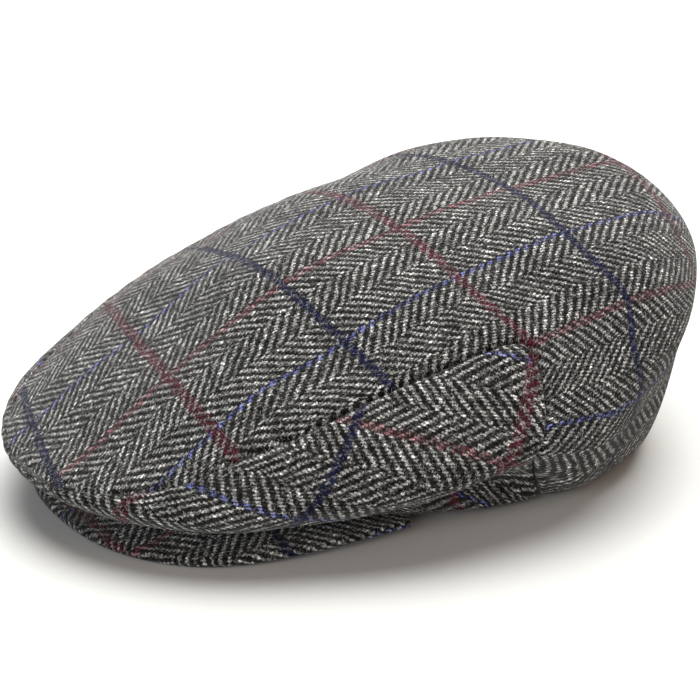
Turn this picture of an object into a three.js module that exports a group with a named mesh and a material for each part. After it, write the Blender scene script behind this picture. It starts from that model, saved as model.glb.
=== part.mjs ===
// Tweed flat cap at rest on a table: peak towards -Y, wearer's left towards +X, Z up, millimetres.
// Four sewn pieces: a top panel that runs from the front over the crown and down the back,
// a side panel on either side, and a stiff cloth-covered peak below the front lip.

import * as THREE from 'three';

const CLOTH = 2.0;          // thickness of a panel: tweed with its backing
const SEAM_GAP = 0.4;       // clear slit between two neighbouring panels
const PRESSED_FLAT = 0.6;   // cloth closer to the table than this lies flat on it

// Closed rings round the crown, a row per ring from the rim upwards. front and back are the ends of
// the ring along Y, half its half width, widest the Y at which it is that wide. Heights are taken at
// the front, the sides and the back. lift raises the ring towards the rear corners, where the crown
// folds over a taller band; behind them the fold ends and flare widens the ring to a plain wall.
// square is 2 for an ellipse, more for fuller corners.
const RING_COLUMNS = [
  'name', 'front', 'back', 'half', 'flare', 'widest', 'zFront', 'zSide', 'zBack', 'lift', 'square',
];
const RINGS = [
  ['rim', -80, 118, 80, 0, 16, 17, 5, 0, 0, 2.1],
  ['band', -106, 119, 82, 12, 13, 16.5, 13, 6, 6, 2.1],
  ['tuck', -128, 120, 97.5, 2, 11, 15.5, 19, 11, 10, 2.1],
  ['bulge', -136.5, 129, 107.5, 0, 17, 23.5, 33.5, 47, 5, 2],
  ['shoulder', -115, 136, 99.5, 0, 28, 37, 53.5, 74, 0, 2.2],
  ['slope', -86, 118.5, 78, 0, 40, 54.5, 74.5, 93.5, 0, 2.3],
  ['top', -33, 94.5, 48.5, 0, 40, 82.5, 88, 96.5, 0, 2.05],
].map((row) => Object.fromEntries(RING_COLUMNS.map((column, i) => [column, row[i]])));
const RIM = RINGS.find((ring) => ring.name === 'rim');
const BULGE = RINGS.find((ring) => ring.name === 'bulge');
const CORNER = {            // degrees from the front
  highest: 94,              // where the lift is greatest
  spread: 22,               // how soon it fades towards the front
  foldFrom: 90,             // the fold runs out between these two
  foldTo: 108,
};
const APEX = { y: 45, z: 96 };
const APEX_LEVEL = RINGS.length;

// Seam of the left side panel. angle goes round from the front (degrees), level counts rings from the
// rim and may lie between two of them. The top seam climbs from the front to the rear corner, the
// back seam drops from that corner to the rim.
const TOP_SEAM = [
  { angle: 0, level: 3.03 },
  { angle: 9, level: 3.1 },
  { angle: 20, level: 3.3 },
  { angle: 30, level: 3.57 },
  { angle: 39, level: 4.1 },
  { angle: 49, level: 4.41 },
  { angle: 60, level: 4.7 },
  { angle: 71, level: 4.84 },
  { angle: 80, level: 4.9 },
  { angle: 84.5, level: 4.89 },
  { angle: 86.7, level: 4.76 },
];
const BACK_SEAM = [
  { angle: 87.9, level: 4.5 },
  { angle: 89, level: 4.05 },
  { angle: 89.5, level: 3.6 },
  { angle: 90, level: 3.15 },
  { angle: 91.5, level: 2.6 },
  { angle: 94.5, level: 2 },
  { angle: 97.5, level: 1 },
  { angle: 100.5, level: 0 },
];
const SEAM_STEPS = 2;       // mesh steps between two rows of the seam
const LEAN_POWER = 4;       // mesh columns lean with the back seam only close to it
const CROWN_ROWS = 15;      // mesh rows from the top seam up to the apex
const BACK_COLUMNS = 30;    // mesh columns of the back wall between the two back seams

// Peak: a crescent plate whose root follows the rim and whose outer edge is a rounded oval arc.
const PEAK = {
  endAngle: 70,             // how far round the rim its root reaches, degrees from the front
  front: -123,              // Y of the outer edge at the middle
  centre: -20,              // Y of the oval's centre
  half: 79,                 // half width of the oval
  square: 2.4,              // fullness of the oval's corners
  thick: 4.5,               // thickness at the middle
  thickEnd: 3,              // thickness at the two ends
  endRise: 5,               // height of the lower edge at the two ends; the middle touches the table
  flatTo: 40,               // share of the edge that stays on the table, degrees of the oval
  droop: 1.25,              // above 1 the plate slopes more towards its edge
  rootInset: 2,             // root lies this far inside the rim
};
const PEAK_SECTIONS = 44;
const PEAK_STEPS = 5;       // points over the plate from root to edge
const NOSE_STEPS = 6;       // points round the outer edge

const TWEED = { color: 0x63615f, roughness: 0.95, metalness: 0 };

const DELTA = 1e-3;         // step for slopes, in radians or levels

// Degrees from the front on either side.
function fromFront(angle) {
  return 180 - Math.abs(180 - THREE.MathUtils.radToDeg(angle));
}

// Share of the crown's fold over the band: whole at the front and sides, none behind the rear corners.
function folded(angle) {
  return 1 - THREE.MathUtils.smoothstep(fromFront(angle), CORNER.foldFrom, CORNER.foldTo);
}

// Height of a ring at an angle, through its front, side and back heights and its lifted corners.
function ringHeight(ring, angle) {
  const ends = (ring.zFront + ring.zBack) / 2;
  const slope = (ring.zFront - ring.zBack) / 2;
  const mean = (ends + ring.zSide) / 2;
  const sway = (ends - ring.zSide) / 2;
  const fromCorner = (fromFront(angle) - CORNER.highest) / CORNER.spread;
  const lift = ring.lift * folded(angle) * Math.exp(-(fromCorner ** 2));
  return mean + slope * Math.cos(angle) + sway * Math.cos(2 * angle) + lift;
}

// Signed power that keeps the quadrant of an oval.
function ovalPower(value, square) {
  return Math.sign(value) * Math.abs(value) ** (2 / square);
}

function ringPoint(ring, angle) {
  const across = ovalPower(Math.sin(angle), ring.square);
  const along = ovalPower(Math.cos(angle), ring.square);
  const reach = along > 0 ? ring.widest - ring.front : ring.back - ring.widest;
  const half = ring.half + ring.flare * (1 - folded(angle));
  return new THREE.Vector3(half * across, ring.widest - reach * along, ringHeight(ring, angle));
}

// Point of the crown's outer face: a smooth rib rises through the rings, over the apex and beyond.
function crownPoint(angle, level) {
  const stations = RINGS.map((ring) => ringPoint(ring, angle));
  stations.push(new THREE.Vector3(0, APEX.y, APEX.z));
  stations.push(ringPoint(RINGS[APEX_LEVEL - 1], angle + Math.PI));
  const rib = new THREE.CatmullRomCurve3(stations);
  return rib.getPoint(level / (stations.length - 1));
}

function alongRib(angle, level) {
  const below = crownPoint(angle, Math.max(level - DELTA, 0));
  return crownPoint(angle, level + DELTA).sub(below);
}

function crownNormal(angle, level) {
  const up = alongRib(angle, level);
  if (level > APEX_LEVEL - DELTA) {
    return up.cross(alongRib(angle + Math.PI / 2, level)).normalize();
  }
  const round = crownPoint(angle + DELTA, level).sub(crownPoint(angle - DELTA, level));
  return round.cross(up).normalize();
}

// Points of the seam in {angle, level}, from the front to the rim, moved sideways over the cloth by
// a distance in millimetres: positive towards the top panel.
function seamLine(distance) {
  const rows = [...TOP_SEAM, ...BACK_SEAM];
  const knots = rows.map((row) => new THREE.Vector2(THREE.MathUtils.degToRad(row.angle), row.level));
  const line = new THREE.SplineCurve(knots);
  const count = (rows.length - 1) * SEAM_STEPS;
  const shifted = [];
  for (let i = 0; i <= count; i += 1) {
    const place = line.getPoint(i / count);
    const ahead = line.getPoint(Math.min(i / count + DELTA, 1));
    const before = line.getPoint(Math.max(i / count - DELTA, 0));
    const perAngle = crownPoint(place.x + DELTA, place.y).distanceTo(crownPoint(place.x, place.y)) / DELTA;
    const perLevel = crownPoint(place.x, place.y + DELTA).distanceTo(crownPoint(place.x, place.y)) / DELTA;
    const aside = new THREE.Vector2(
      -(ahead.y - before.y) * perLevel,
      (ahead.x - before.x) * perAngle,
    ).normalize();
    shifted.push({
      angle: place.x + (distance * aside.x) / perAngle,
      level: place.y + (distance * aside.y) / perLevel,
    });
  }
  shifted[0].angle = 0;
  shifted[count].level = 0;
  const corner = (TOP_SEAM.length - 1) * SEAM_STEPS;
  return { top: shifted.slice(0, corner + 1), back: shifted.slice(corner) };
}

// Mesh of places on the crown: a net of {angle, level} and triangles that face outwards.
class Net {
  constructor() {
    this.places = [];
    this.faces = [];
  }

  add(angle, level) {
    this.places.push({ angle, level });
    return this.places.length - 1;
  }

  // Two triangles between neighbouring columns of vertex numbers listed from below upwards.
  strip(left, right) {
    for (let j = 0; j + 1 < left.length; j += 1) {
      this.faces.push([left[j], right[j], right[j + 1]]);
      if (left[j + 1] !== right[j + 1]) {
        this.faces.push([left[j], right[j + 1], left[j + 1]]);
      }
    }
  }
}

// Closed solid of one cloth panel: the net's outer face, the same face one thickness further in,
// and walls along the open edges.
function panelSolid(net) {
  const outer = net.places.map(({ angle, level }) => crownPoint(angle, level));
  const inner = net.places.map(({ angle, level }, i) => (
    outer[i].clone().addScaledVector(crownNormal(angle, level), -CLOTH)
  ));
  const points = [...outer, ...inner];
  for (const point of points) {
    if (point.z < PRESSED_FLAT) point.z = 0;
  }
  const count = outer.length;
  const faces = [...net.faces];
  const edges = new Set();
  for (const [a, b, c] of net.faces) {
    faces.push([a + count, c + count, b + count]);
    for (const [from, to] of [[a, b], [b, c], [c, a]]) edges.add(`${from} ${to}`);
  }
  for (const edge of edges) {
    const [from, to] = edge.split(' ').map(Number);
    if (edges.has(`${to} ${from}`)) continue;
    faces.push([to, from, from + count], [to, from + count, to + count]);
  }
  return solid(points, faces);
}

function solid(points, faces) {
  const geometry = new THREE.BufferGeometry();
  geometry.setFromPoints(points);
  geometry.setIndex(faces.flat());
  geometry.computeVertexNormals();
  return geometry;
}

// The same solid on the other side of the cap.
function mirrored(geometry) {
  const twin = geometry.clone().scale(-1, 1, 1);
  const index = twin.getIndex();
  for (let i = 0; i < index.count; i += 3) {
    const second = index.getX(i + 1);
    index.setX(i + 1, index.getX(i + 2));
    index.setX(i + 2, second);
  }
  twin.computeVertexNormals();
  return twin;
}

// Left side panel: columns follow the top seam, rows follow the back seam.
function sidePanel() {
  const seam = seamLine(-SEAM_GAP / 2);
  const corner = seam.back[0];
  const net = new Net();
  const slit = SEAM_GAP / 2 / Math.abs(BULGE.front);
  const columns = seam.top.map((over) => seam.back.map((row) => {
    const lean = (over.angle / corner.angle) ** LEAN_POWER;
    const angle = over.angle + (row.angle - corner.angle) * lean;
    const level = (over.level * row.level) / corner.level;
    return net.add(Math.max(angle, slit), level);
  }).reverse());
  for (let i = 0; i + 1 < columns.length; i += 1) net.strip(columns[i], columns[i + 1]);
  return panelSolid(net);
}

// Top panel: columns run from the seams, or across the back from the rear corner, up to the apex;
// below the corner a back wall reaches down to the rim.
function topPanel() {
  const seam = seamLine(SEAM_GAP / 2);
  const corner = seam.back[0];
  const turn = 2 * Math.PI;
  const net = new Net();
  const apex = net.add(0, APEX_LEVEL);
  const feet = [...seam.top];
  for (let k = 1; k < BACK_COLUMNS; k += 1) {
    const share = k / BACK_COLUMNS;
    feet.push({ angle: corner.angle + (turn - 2 * corner.angle) * share, level: corner.level });
  }
  for (const over of [...seam.top].reverse().slice(0, -1)) {
    feet.push({ angle: turn - over.angle, level: over.level });
  }
  const columns = feet.map((foot) => {
    const column = [];
    for (let j = 0; j < CROWN_ROWS; j += 1) {
      const level = foot.level + (APEX_LEVEL - foot.level) * (j / CROWN_ROWS);
      column.push(net.add(foot.angle, level));
    }
    column.push(apex);
    return column;
  });
  columns.forEach((column, i) => net.strip(column, columns[(i + 1) % columns.length]));

  const below = seam.back.slice(1).reverse();
  const walls = [];
  for (let k = 0; k <= BACK_COLUMNS; k += 1) {
    const share = k / BACK_COLUMNS;
    const wall = below.map((row) => net.add(row.angle + (turn - 2 * row.angle) * share, row.level));
    wall.push(columns[seam.top.length - 1 + k][0]);
    walls.push(wall);
  }
  for (let k = 0; k < BACK_COLUMNS; k += 1) net.strip(walls[k], walls[k + 1]);
  return panelSolid(net);
}

// One cross-section of the peak as a closed loop: over the top, round the edge, back below.
function peakSection(share) {
  const angle = THREE.MathUtils.degToRad(PEAK.endAngle) * share;
  const sweep = (Math.PI / 2) * share;
  const rim = ringPoint(RIM, angle);
  const inward = new THREE.Vector2(-rim.x, RIM.widest - rim.y).setLength(PEAK.rootInset);
  const root = new THREE.Vector2(rim.x, rim.y).add(inward);
  const edge = new THREE.Vector2(
    PEAK.half * ovalPower(Math.sin(sweep), PEAK.square),
    PEAK.centre + (PEAK.front - PEAK.centre) * ovalPower(Math.cos(sweep), PEAK.square),
  );
  const thick = THREE.MathUtils.lerp(PEAK.thick, PEAK.thickEnd, share * share);
  const flatTo = PEAK.flatTo / 90;
  const edgeTop = thick + PEAK.endRise * THREE.MathUtils.smoothstep(Math.abs(share), flatTo, 1);
  const rootTop = rim.z - SEAM_GAP;
  const width = root.distanceTo(edge);
  const radius = thick / 2;
  const outward = edge.clone().sub(root).normalize();
  const place = (out, z) => new THREE.Vector3(root.x + outward.x * out, root.y + outward.y * out, z);
  const over = [];
  const under = [];
  for (let k = 0; k < PEAK_STEPS; k += 1) {
    const part = k / PEAK_STEPS;
    const top = THREE.MathUtils.lerp(rootTop, edgeTop, part ** PEAK.droop);
    over.push(place((width - radius) * part, top));
    under.unshift(place((width - radius) * part, top - thick));
  }
  const nose = [];
  for (let k = 0; k <= NOSE_STEPS; k += 1) {
    const turn = Math.PI * (0.5 - k / NOSE_STEPS);
    nose.push(place(width - radius + radius * Math.cos(turn), edgeTop - radius + radius * Math.sin(turn)));
  }
  return [...over, ...nose, ...under];
}

function peak() {
  const points = [];
  const faces = [];
  const size = 2 * PEAK_STEPS + NOSE_STEPS + 1;
  for (let i = 0; i <= PEAK_SECTIONS; i += 1) {
    points.push(...peakSection((2 * i) / PEAK_SECTIONS - 1));
  }
  for (let i = 0; i < PEAK_SECTIONS; i += 1) {
    for (let k = 0; k < size; k += 1) {
      const a = i * size + k;
      const b = i * size + ((k + 1) % size);
      faces.push([a, b, b + size], [a, b + size, a + size]);
    }
  }
  const last = PEAK_SECTIONS * size;
  for (let k = 1; k + 1 < size; k += 1) {
    faces.push([0, k + 1, k], [last, last + k, last + k + 1]);
  }
  return solid(points, faces);
}

const cap = new THREE.Group();
cap.name = 'flat_cap';

function addPiece(name, geometry) {
  const piece = new THREE.Mesh(geometry, new THREE.MeshStandardMaterial(TWEED));
  piece.name = name;
  cap.add(piece);
}

const side = sidePanel();
addPiece('top_panel', topPanel());
addPiece('side_panel_left', side);
addPiece('side_panel_right', mirrored(side));
addPiece('peak', peak());

// The origin is the middle of the cap's footprint.
const middle = new THREE.Box3().setFromObject(cap).getCenter(new THREE.Vector3());
for (const piece of cap.children) piece.geometry.translate(0, -middle.y, 0);

export default cap;
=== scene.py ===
"""Tweed flat cap at rest on a pale floor: peak towards -Y, wearer's left towards +X, Z up.

The four sewn pieces are drawn from the same rings and seams as their solids, finely enough for sewn-in
edges, puckers and the soft waves of worn cloth. Shapes are worked out in millimetres and stored in metres.
"""

import math

import bpy
import numpy as np
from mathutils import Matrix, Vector
from mathutils.bvhtree import BVHTree
from mathutils.kdtree import KDTree


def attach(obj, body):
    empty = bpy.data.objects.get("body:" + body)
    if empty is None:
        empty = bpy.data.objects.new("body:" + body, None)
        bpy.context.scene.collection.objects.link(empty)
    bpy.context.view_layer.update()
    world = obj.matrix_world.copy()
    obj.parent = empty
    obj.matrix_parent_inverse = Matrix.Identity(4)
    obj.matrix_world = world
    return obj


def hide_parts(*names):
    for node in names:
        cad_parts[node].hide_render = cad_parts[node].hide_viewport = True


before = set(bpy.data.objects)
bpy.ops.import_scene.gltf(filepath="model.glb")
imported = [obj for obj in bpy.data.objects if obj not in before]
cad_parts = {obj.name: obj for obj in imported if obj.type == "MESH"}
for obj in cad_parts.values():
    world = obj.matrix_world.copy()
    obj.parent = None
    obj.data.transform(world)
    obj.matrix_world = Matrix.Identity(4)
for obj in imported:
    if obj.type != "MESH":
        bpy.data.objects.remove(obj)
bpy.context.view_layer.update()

MM = 0.001
THICKNESS = 2.0        # of a cloth panel, mm
SEAM_GAP = 0.24        # clear slit in the depth of a seam, mm
RIM_ROLL = 0.8         # how far the turned edge of the rim bulges, mm
PRESSED_FLAT = 0.6     # cloth closer to the floor than this lies flat on it, mm
DELTA = 1e-3           # step for slopes, in radians, levels or shares of the seam
TINY = 1e-12           # keeps a length from being zero
LAST_CELL = 1.001      # keeps a place just inside the last cell of a table

# Closed rings round the crown, from the rim upwards, in mm: the two ends, the half width and what it gains
# behind the rear corners, the widest place, the heights, the lift at the rear corners, and how square the
# oval is.
RING_COLUMNS = ("front", "back", "half", "flare", "widest", "z_front", "z_side", "z_back", "lift", "square")
RING_ROWS = {
    "rim": (-80, 118, 80, 0, 16, 17, 5, 0, 0, 2.1),
    "band": (-106, 119, 82, 12, 13, 16.5, 13, 6, 6, 2.1),
    "tuck": (-128, 120, 97.5, 2, 11, 15.5, 19, 11, 10, 2.1),
    "bulge": (-136.5, 129, 107.5, 0, 17, 23.5, 33.5, 47, 5, 2),
    "shoulder": (-115, 136, 99.5, 0, 28, 37, 53.5, 74, 0, 2.2),
    "slope": (-86, 118.5, 78, 0, 40, 54.5, 74.5, 93.5, 0, 2.3),
    "top": (-33, 94.5, 48.5, 0, 40, 82.5, 88, 96.5, 0, 2.05),
}
RINGS = {name: dict(zip(RING_COLUMNS, row)) for name, row in RING_ROWS.items()}
CORNER = {"highest": 94, "spread": 22, "fold": (90, 108)}   # lift and fold of the rings, degrees from front
APEX = (0.0, 45.0, 96.0)
APEX_LEVEL = len(RINGS)
APEX_NEAR = 10 * DELTA   # levels below the apex within which a rib to the side gives the slope
BULGE_LEVEL = list(RINGS).index("bulge")

# Seam of the left side panel: degrees round from the front, and level in rings from the rim.
TOP_SEAM = ((0, 3.03), (9, 3.1), (20, 3.3), (30, 3.57), (39, 4.1), (49, 4.41), (60, 4.7), (71, 4.84),
            (80, 4.9), (84.5, 4.89), (86.7, 4.76))
BACK_SEAM = ((87.9, 4.5), (89, 4.05), (89.5, 3.6), (90, 3.15), (91.5, 2.6), (94.5, 2), (97.5, 1),
             (100.5, 0))
CORNER_SHARE = (len(TOP_SEAM) - 1) / (len(TOP_SEAM) + len(BACK_SEAM) - 1)
LEAN_POWER = 4         # how late the columns of the side panel begin to lean with the back seam

PEAK = {"end_angle": 70, "front": -123, "centre": -20, "half": 79, "square": 2.4, "thick": 4.5,
        "thick_end": 3, "end_rise": 5, "flat_to": 40, "droop": 1.25, "root_inset": 2, "root_drop": 0.4}

# Mesh steps, and how much they crowd towards a seam.
SEAM_COLUMNS, SEAM_CROWDING = 176, 0.4   # along the top seam of one side
BACK_COLUMNS, BACK_CROWDING = 128, 0.7   # across the back from one rear corner to the other
CROWN_ROWS, CROWN_CROWDING = 92, 0.7     # from the top seam up to the apex
SIDE_ROWS, SIDE_CROWDING = 72, 0.55      # from the top seam down to the rim
BACK_ROWS = 64                           # from the rear corner down to the rim
THINNED = (0.5, 0.75, 0.875, 0.94)       # shares of the way to the apex past which every second column ends
PEAK_SECTIONS = 176                      # along the peak
PEAK_OVER, PEAK_NOSE, PEAK_UNDER = 28, 10, 14   # over it, round its edge and back under it

# Steps for measuring lengths on the crown.
SEAM_SAMPLES = 1200
RIB_SAMPLES = 241
SIDE_SAMPLES, SIDE_END = 241, 120   # along the bulge from the front, to these degrees

# Soft relief of the sewn cloth, mm.
DITCH_DEPTH = 2.3      # a seam lies this much below the cloth beside it
DITCH_WIDTH, DITCH_POWER = 0.8, 1.5   # how far from the seam, and how suddenly, the cloth drops into it
DITCH_FRONT = 0.25     # share of that depth at the front
DITCH_DEEPENS = (50, 130)   # where along the seam, from the front, it deepens to the whole
VALLEY_DEPTH = 0.5     # and the cloth sinks towards it
VALLEY_WIDTH = 4.0
PUCKER_HEIGHT = 0.28   # small pulls of the thread along a seam
PUCKER_LENGTH = 11.0
PUCKER_DRIFT, PUCKER_DRIFT_LENGTH = 1.7, 23   # their spacing wanders by this many radians
PUCKER_REACH = 6.0
WAVES = (              # length, height, direction and start in radians of the slow waves in the cloth
    (74, 0.55, (0.8, 0.5, 0.33), 0.4),
    (58, 0.45, (-0.5, 0.8, 0.33), 1.9),
    (43, 0.35, (0.6, -0.3, 0.74), 3.1),
    (31, 0.18, (0.1, 0.9, -0.42), 4.6),
)
WAVES_FROM_SEAM = 18   # the waves reach their height this far from a seam

# Weave. The check lines count threads, so these sizes come from the check seen on the cap.
CHECK_ENDS = 36        # warp ends from one coloured line to the next
CHECK_PICKS = 48       # weft picks from one coloured line to the next
CHECK_ACROSS = 38.1    # mm between lines that run front to back
CHECK_ALONG = 51.5     # mm between lines that run side to side
END_PITCH = CHECK_ACROSS / CHECK_ENDS
PICK_PITCH = CHECK_ALONG / CHECK_PICKS
COLUMN_ENDS = 12       # ends in one herringbone column
OVER = 2               # threads that a float passes over
TWILL = 2 * OVER       # threads in one repeat of the twill
BLUE_ENDS, RED_ENDS = 2, 3
NAVY_PICKS, WINE_PICKS = 3, 4
COLUMN_STRIDE = 17     # keeps the numbers of floats in one column apart from the next one's

# How the flat cloth lies over the crown: lines across the cap are cut by planes that fan out from an axis
# under it, and lengths over the crown from its middle line give the lines along the cap.
FAN_AXIS_Y, FAN_AXIS_Z = 30.0, -60.0
FAN_TURN = 3.0         # degrees that the cloth is turned on the crown
FAN_PLANES = np.radians(np.linspace(-72, 66, 220))
FAN_ASIDES = np.radians(np.linspace(-62, 62, 361))
FAN_SHELL_FROM, FAN_SHELL_ROWS, FAN_SHELL_TURN = 1.5, 120, 2   # first level, rows and degrees of its shell
RED_LINE_AT = 9.7      # mm across of the red line over the middle of the crown
WINE_LINE_AT = -18.6   # mm along of the wine line over the middle of the crown
FRONT_FROM = -60       # mm along, ahead of which the cloth is drawn over the front:
FRONT_SKEW = 0.0025    # down to the left, per mm and mm
FRONT_EASE = 0.03      # and shortened
FRONT_SPREAD = 0.067   # and spread from a line on the right
FRONT_SPREAD_FROM = -28
FRONT_SPREAD_OVER = (10, 55)
CORNER_PULL = 8.0      # the rear corners draw the cloth back, mm
CORNER_PULL_AT, CORNER_PULL_WIDTH = 88, 18
CORNER_PULL_OVER = (FRONT_FROM, -20)   # mm along over which that pull sets in
WALL_LEVELS = (3.3, 4.8)   # the back is laid smooth from its navy lines below the first, not above the second
WALL_FROM = (80, 90)   # degrees from the front where that begins
WALL_TO = (148, 178)   # and where it ends
WALL_SKEW = 0.2        # it is drawn up towards the back
WALL_EASE = 0.5        # share of its length near the rim, where it turns under and the weave is drawn longer
WALL_EASE_LEVELS = (1.6, 2.8)
WALL_STEP, WALL_TURN = 0.05, 0.5   # steps of that laying, in levels and degrees
SIDE_GRAIN_AT = (130, 20)   # middle of a side panel, mm along the bulge and above it
SIDE_ACROSS = (28.0, 0.41, 0.92, 0.00095)      # its flat place, and the change per mm along, per mm above
SIDE_ALONG = (58.7, 0.717, -0.119, -0.00032)   # and per square mm along
PEAK_BLUE_AT, PEAK_WINE_AT = 3.0, -121.0

# Loose fibres on the brushed cloth; they are drawn about twice as thick as wool, so that they show.
FUZZ_DENSITY = 320000  # per square metre
FUZZ_LENGTH = 1.3      # mm
FUZZ_WIDTH = 0.05
FUZZ_SIZES = (0.5, 1.2)   # from the smallest to the largest, as shares
FUZZ_LEAN = (1.3, 1.3, 6.28)   # most that a fibre leans to either side, and turns
FUZZ_BEND = 2.0        # power of its bend
FUZZ_DIP = -0.4        # share of its length that the bend takes from its height
FUZZ_ABOVE = 4.0       # none grows closer to the floor than this
FUZZ_FACING = -0.1     # nor where the cloth looks down more than this share
FIBRE_ACROSS, FIBRE_ALONG = 2, 3   # points of a fibre
CELL_FILL, CELL_MARGIN = 0.8, 0.1   # shares of a cell in the fibres' texture map

# Colours of the wool and the studio, sRGB.
COLOURS = {
    "warp": "B9B8B6", "warp_dark": "6A6967", "weft": "0F0F0E", "weft_light": "333231",
    "blue": "535CA9", "red": "834750", "navy": "11153B", "wine": "521B28",
    "speck": "A0A09D", "sheen": "DADAD8", "fibre": "DCDBD8", "floor": "D2D2D0",
}
# Dyed threads: their yarn, the least and most of the dye that shows, and the tint on the threads across.
DYED = {
    "blue": ("warp", (0.35, 0.85), 0.1),
    "red": ("warp", (0.2, 0.85), 0.35),
    "navy": ("weft", (0.85, 1.0), 0.85),
    "wine": ("weft", (0.75, 1.0), 0.6),
}
# Yarns: the numbers that name a thread, the way along it and a float on it, then its dark and light shade.
YARNS = {
    "warp": ("end", "along", "float", "warp_dark", "warp"),
    "weft": ("pick", "across", "column_float", "weft", "weft_light"),
}

# Unevenness of the wool. Noise is given in patches per mm of cloth with its layers of detail; a range is the
# low and high end of what is read, and the values that they become.
NOISE_ROUGHNESS = 0.65
WANDER = ((0.22, 1.5), (1.1, 1.1), (2.6, 0.8))   # patches per mm, and how far the threads stray in them, mm
WANDER_DETAIL = 2
WOOL_NOISE = {"fibre": (1.6, 4), "tuft": (0.9, 3), "clump": (0.45, 2), "patch": (0.16, 2), "cloud": (0.06, 2),
              "speck": (0.5, 1)}
MOTTLES = {            # how each noise lightens and darkens the cloth
    "fibre": (0.34, 0.66, 0.1, 1.7),
    "tuft": (0.3, 0.7, 0.3, 1.7),
    "clump": (0.3, 0.7, 0.65, 1.35),
    "patch": (0.3, 0.7, 0.65, 1.35),
    "cloud": (0.3, 0.7, 0.85, 1.15),
}
SLUB_STEPS = (7.31, 0.16, 0)   # patches of uneven spinning from thread to thread, and per mm along one
SLUB_DETAIL = 3
SLUB_RANGE = (0.36, 0.64, 0, 1)
FLOAT_RANGE = (0, 1, 0.75, 1.13)     # shade of one float by chance
DYE_RANGE = (0.35, 0.65)
SPECK_RANGE = (0.7, 0.9, 0, 1)
PAINTED_THREAD_SHADE_RANGE = (0, 0.6, 0.2, 1.15)   # painted shade between the threads, painted highlight on their backs
NAP_SHARE = 0.8        # height of the fibres beside that of the threads
NAP_BUMP = {"Strength": 0.8, "Distance": 0.35 * MM}
WOOL_SURFACE = {"Roughness": 0.92, "Specular IOR Level": 0.12, "Sheen Weight": 0.2, "Sheen Roughness": 0.25}

# Photograph's camera, in degrees and mm.
CAMERA_AZIMUTH, CAMERA_ELEVATION = 59.5, 24.45
CAMERA_TARGET = (0, 1.06, 40.06)
CAMERA_DISTANCE = 1363
CAMERA_CLIP = (50, 20000)
FIELD_WIDTH = 264.15   # width of the view at the target
SENSOR = 36

# Studio, in metres and watts: each soft light has its place, size, power and colour.
SOFTBOXES = {
    "softbox_above": ((-0.25, 0.3, 1.45), 1.8, 47, "FEFFFD"),
    "softbox_behind": ((-1.1, 0.9, 0.8), 1.3, 23, "FFFDFA"),
    "softbox_front": ((1.0, -1.2, 0.65), 0.9, 11.5, "FAFDFF"),
    "softbox_right": ((1.3, 0.3, 1.0), 0.9, 3.2, "FFCFA2"),
}
LIT_POINT = (0, 0, 0.05)
AIR_STRENGTH = 0.14
FLOOR_REACH = 6.0
FLOOR_DROP = 0.0002    # the floor lies this far below the cap, so that their faces do not share a plane


def smoothstep(x, low, high):
    t = np.clip((x - low) / (high - low), 0, 1)
    return t * t * (3 - 2 * t)


def unit(v):
    return v / np.maximum(np.linalg.norm(v, axis=-1, keepdims=True), TINY)


def run_along(points, axis=0):
    """Lengths along a line of points, or along each of many lines, from its first point."""
    steps = np.linalg.norm(np.diff(points, axis=axis), axis=-1)
    return np.cumsum(np.insert(steps, 0, 0, axis=axis), axis=axis)


def between(table, row, column):
    """Values of a table at places between its rows and columns."""
    row = np.clip(row, 0, table.shape[0] - LAST_CELL)
    column = np.clip(column, 0, table.shape[1] - LAST_CELL)
    i, j = row.astype(int), column.astype(int)
    fi, fj = row - i, column - j
    return ((table[i, j] * (1 - fj) + table[i, j + 1] * fj) * (1 - fi)
            + (table[i + 1, j] * (1 - fj) + table[i + 1, j + 1] * fj) * fi)


def crowded(count, amount, turns=1):
    """count steps from 0 to 1 that are shorter at the start, or with two turns at both ends."""
    x = np.linspace(0, 1, count + 1)
    return x - amount * np.sin(turns * math.pi * x) / (turns * math.pi)


def oval_power(value, square):
    return np.sign(value) * np.abs(value) ** (2 / square)


def ring_points(ring, angle):
    """Points of one ring at these angles."""
    ends = (ring["z_front"] + ring["z_back"]) / 2
    slope = (ring["z_front"] - ring["z_back"]) / 2
    mean = (ends + ring["z_side"]) / 2
    sway = (ends - ring["z_side"]) / 2
    along = oval_power(np.cos(angle), ring["square"])
    reach = np.where(along > 0, ring["widest"] - ring["front"], ring["back"] - ring["widest"])
    from_front = 180 - np.abs(180 - np.degrees(angle))
    folded = 1 - smoothstep(from_front, *CORNER["fold"])
    x = (ring["half"] + ring["flare"] * (1 - folded)) * oval_power(np.sin(angle), ring["square"])
    y = ring["widest"] - reach * along
    lift = ring["lift"] * folded * np.exp(-((from_front - CORNER["highest"]) / CORNER["spread"]) ** 2)
    z = mean + slope * np.cos(angle) + sway * np.cos(2 * angle) + lift
    return np.stack([x, y, z], -1)


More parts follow.
